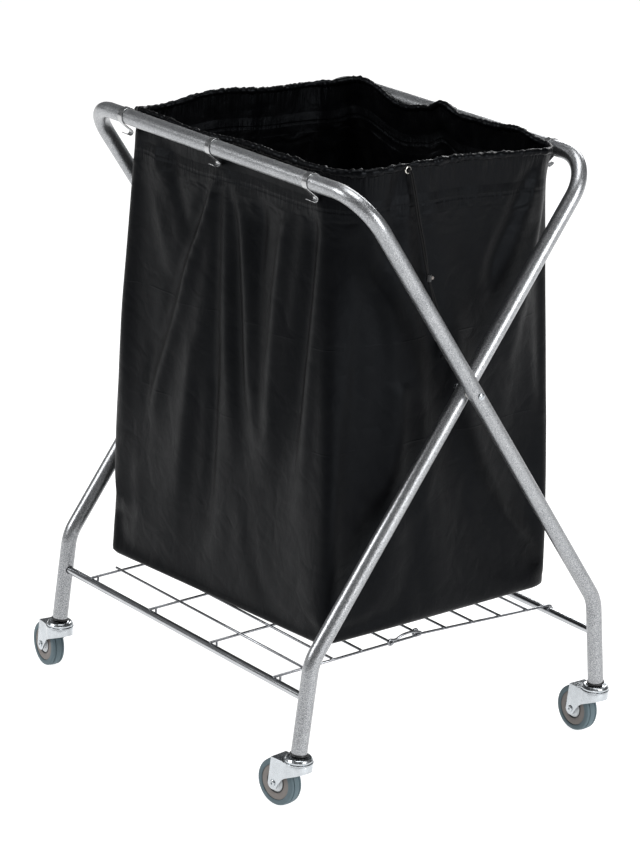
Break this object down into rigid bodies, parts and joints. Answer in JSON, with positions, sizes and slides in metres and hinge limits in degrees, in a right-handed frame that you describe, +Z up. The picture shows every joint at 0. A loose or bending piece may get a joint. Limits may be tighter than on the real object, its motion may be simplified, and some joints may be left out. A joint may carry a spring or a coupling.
{
  "type": "laundry sorter on wheels",
  "caption": "Folding X-frame laundry trolley: two bent-tube frames pivot on bolts, an open cloth bag hangs between their rails on hooks, with a hinged wire shelf and swivel casters below.",
  "frame": {"origin": "on the floor under the middle of the footprint, casters included, drawcord left out", "axes": "+Z up, +Y towards the rear, +X along the rails to the right"},
  "size_m": [0.803, 0.6192, 0.976],
  "materials": {
    "hammertone": "silver hammertone powder coat",
    "plated_tube": "bright plated steel tube",
    "zinc_wire": "bright zinc plated wire",
    "zinc_steel": "zinc plated pressed and turned steel",
    "polished_strip": "bright nickel plated strip",
    "eyelet_metal": "nickel plated brass",
    "nylon_cloth": "black coated nylon, slightly glossy",
    "black_cord": "braided polyester cord",
    "black_plastic": "moulded polyethylene",
    "grey_rubber": "blue-grey soft rubber",
    "taupe_plastic": "moulded polypropylene",
    "light_plastic": "pale moulded hub",
    "white_nylon": "moulded nylon"
  },
  "bodies": {
    "inner_frame": {"inner_frame": "hammertone", "front_crossbar": "plated_tube", "front_left_stem_socket": "black_plastic", "front_left_caster_stem": "zinc_steel", "front_right_stem_socket": "black_plastic", "front_right_caster_stem": "zinc_steel"},
    "outer_frame": {"outer_frame": "hammertone", "rear_crossbar": "plated_tube", "rear_left_stem_socket": "black_plastic", "rear_left_caster_stem": "zinc_steel", "rear_right_stem_socket": "black_plastic", "rear_right_caster_stem": "zinc_steel"},
    "pivot_bolts": {"pivot_bolt_left": "zinc_steel", "pivot_bolt_right": "zinc_steel", "pivot_washer_left": "white_nylon", "pivot_washer_right": "white_nylon", "pivot_nut_left": "zinc_steel", "pivot_nut_right": "zinc_steel"},
    "bag": {"laundry_bag": "nylon_cloth", "drawcord_eyelet": "eyelet_metal", "drawcord_strand_front": "black_cord", "drawcord_strand_rear": "black_cord", "drawcord_knot": "black_cord"},
    "rear_shelf": {"rear_shelf_panel": "zinc_wire"},
    "front_shelf": {"front_shelf_panel": "zinc_wire"},
    "front_left_hook": {"front_left_bag_hook": "polished_strip"},
    "front_middle_hook": {"front_middle_bag_hook": "polished_strip"},
    "front_right_hook": {"front_right_bag_hook": "polished_strip"},
    "rear_left_hook": {"rear_left_bag_hook": "polished_strip"},
    "rear_middle_hook": {"rear_middle_bag_hook": "polished_strip"},
    "rear_right_hook": {"rear_right_bag_hook": "polished_strip"},
    "front_left_fork": {"front_left_race_dish": "zinc_steel", "front_left_swivel_bearing": "zinc_steel", "front_left_caster_fork": "zinc_steel", "front_left_wheel_axle": "zinc_steel"},
    "front_left_wheel": {"front_left_tyre": "grey_rubber", "front_left_wheel_body": "taupe_plastic", "front_left_wheel_boss": "light_plastic"},
    "front_right_fork": {"front_right_race_dish": "zinc_steel", "front_right_swivel_bearing": "zinc_steel", "front_right_caster_fork": "zinc_steel", "front_right_wheel_axle": "zinc_steel"},
    "front_right_wheel": {"front_right_tyre": "grey_rubber", "front_right_wheel_body": "taupe_plastic", "front_right_wheel_boss": "light_plastic"},
    "rear_left_fork": {"rear_left_race_dish": "zinc_steel", "rear_left_swivel_bearing": "zinc_steel", "rear_left_caster_fork": "zinc_steel", "rear_left_wheel_axle": "zinc_steel"},
    "rear_left_wheel": {"rear_left_tyre": "grey_rubber", "rear_left_wheel_body": "taupe_plastic", "rear_left_wheel_boss": "light_plastic"},
    "rear_right_fork": {"rear_right_race_dish": "zinc_steel", "rear_right_swivel_bearing": "zinc_steel", "rear_right_caster_fork": "zinc_steel", "rear_right_wheel_axle": "zinc_steel"},
    "rear_right_wheel": {"rear_right_tyre": "grey_rubber", "rear_right_wheel_body": "taupe_plastic", "rear_right_wheel_boss": "light_plastic"}
  },
  "joints": [
    {"name": "frame_fold", "type": "hinge", "parent": "inner_frame", "child": "outer_frame", "pos_m": [0.0265, 0, 0.621], "axis": [-1, 0, 0], "range_deg": [0, 44], "deforming": ["laundry_bag", "drawcord_eyelet", "drawcord_strand_front", "drawcord_strand_rear", "drawcord_knot"]},
    {"name": "pivot_turn", "type": "hinge", "parent": "inner_frame", "child": "pivot_bolts", "pos_m": [0.0265, 0, 0.621], "axis": [-1, 0, 0], "range_deg": [0, 22]},
    {"name": "bag_lift", "type": "slide", "parent": "pivot_bolts", "child": "bag", "axis": [0, 0, 1], "range_m": [0, 0.06269]},
    {"name": "front_left_hook_swing", "type": "hinge", "parent": "outer_frame", "child": "front_left_hook", "pos_m": [-0.2195, -0.231, 0.94846], "axis": [-1, 0, 0], "range_deg": [-22, 0]},
    {"name": "front_middle_hook_swing", "type": "hinge", "parent": "outer_frame", "child": "front_middle_hook", "pos_m": [0.0125, -0.231, 0.94846], "axis": [-1, 0, 0], "range_deg": [-22, 0]},
    {"name": "front_right_hook_swing", "type": "hinge", "parent": "outer_frame", "child": "front_right_hook", "pos_m": [0.2545, -0.231, 0.94846], "axis": [-1, 0, 0], "range_deg": [-22, 0]},
    {"name": "rear_left_hook_swing", "type": "hinge", "parent": "inner_frame", "child": "rear_left_hook", "pos_m": [-0.2195, 0.231, 0.94846], "axis": [-1, 0, 0], "range_deg": [0, 22]},
    {"name": "rear_middle_hook_swing", "type": "hinge", "parent": "inner_frame", "child": "rear_middle_hook", "pos_m": [0.0125, 0.231, 0.94846], "axis": [-1, 0, 0], "range_deg": [0, 22]},
    {"name": "rear_right_hook_swing", "type": "hinge", "parent": "inner_frame", "child": "rear_right_hook", "pos_m": [0.2545, 0.231, 0.94846], "axis": [-1, 0, 0], "range_deg": [0, 22]},
    {"name": "rear_shelf_hinge", "type": "hinge", "parent": "outer_frame", "child": "rear_shelf", "pos_m": [0.0265, 0.27685, 0.18], "axis": [-1, 0, 0], "range_deg": [0, 44.41]},
    {"name": "shelf_fold", "type": "hinge", "parent": "rear_shelf", "child": "front_shelf", "pos_m": [0.0265, 0, 0.20105], "axis": [-1, 0, 0], "range_deg": [-132.83, 0]},
    {"name": "front_left_swivel", "type": "hinge", "parent": "inner_frame", "child": "front_left_fork", "pos_m": [-0.299, -0.28662, 0.0795], "axis": [0, 0, 1], "continuous": true},
    {"name": "front_left_roll", "type": "hinge", "parent": "front_left_fork", "child": "front_left_wheel", "pos_m": [-0.33679, -0.28265, 0.03718], "axis": [0.1045, 0.9945, 0], "continuous": true},
    {"name": "front_right_swivel", "type": "hinge", "parent": "inner_frame", "child": "front_right_fork", "pos_m": [0.352, -0.28662, 0.0795], "axis": [0, 0, 1], "continuous": true},
    {"name": "front_right_roll", "type": "hinge", "parent": "front_right_fork", "child": "front_right_wheel", "pos_m": [0.31437, -0.29191, 0.03718], "axis": [-0.1392, 0.9903, 0], "continuous": true},
    {"name": "rear_left_swivel", "type": "hinge", "parent": "outer_frame", "child": "rear_left_fork", "pos_m": [-0.326, 0.28662, 0.0795], "axis": [0, 0, 1], "continuous": true},
    {"name": "rear_left_roll", "type": "hinge", "parent": "rear_left_fork", "child": "rear_left_wheel", "pos_m": [-0.36395, 0.28463, 0.03718], "axis": [-0.0523, 0.9986, 0], "continuous": true},
    {"name": "rear_right_swivel", "type": "hinge", "parent": "outer_frame", "child": "rear_right_fork", "pos_m": [0.379, 0.28662, 0.0795], "axis": [0, 0, 1], "continuous": true},
    {"name": "rear_right_roll", "type": "hinge", "parent": "rear_right_fork", "child": "rear_right_wheel", "pos_m": [0.341, 0.28662, 0.03718], "axis": [0, 1, 0], "continuous": true}
  ],
  "couplings": [
    {"joint": "pivot_turn", "follows": "frame_fold", "ratio": 0.5},
    {"joint": "bag_lift", "follows": "frame_fold", "m_per_rad": 0.081632},
    {"joint": "front_left_hook_swing", "follows": "frame_fold", "ratio": -0.5},
    {"joint": "front_middle_hook_swing", "follows": "frame_fold", "ratio": -0.5},
    {"joint": "front_right_hook_swing", "follows": "frame_fold", "ratio": -0.5},
    {"joint": "rear_left_hook_swing", "follows": "frame_fold", "ratio": 0.5},
    {"joint": "rear_middle_hook_swing", "follows": "frame_fold", "ratio": 0.5},
    {"joint": "rear_right_hook_swing", "follows": "frame_fold", "ratio": 0.5},
    {"joint": "rear_shelf_hinge", "follows": "frame_fold", "ratio": 1.0094},
    {"joint": "shelf_fold", "follows": "frame_fold", "ratio": -3.0188}
  ]
}
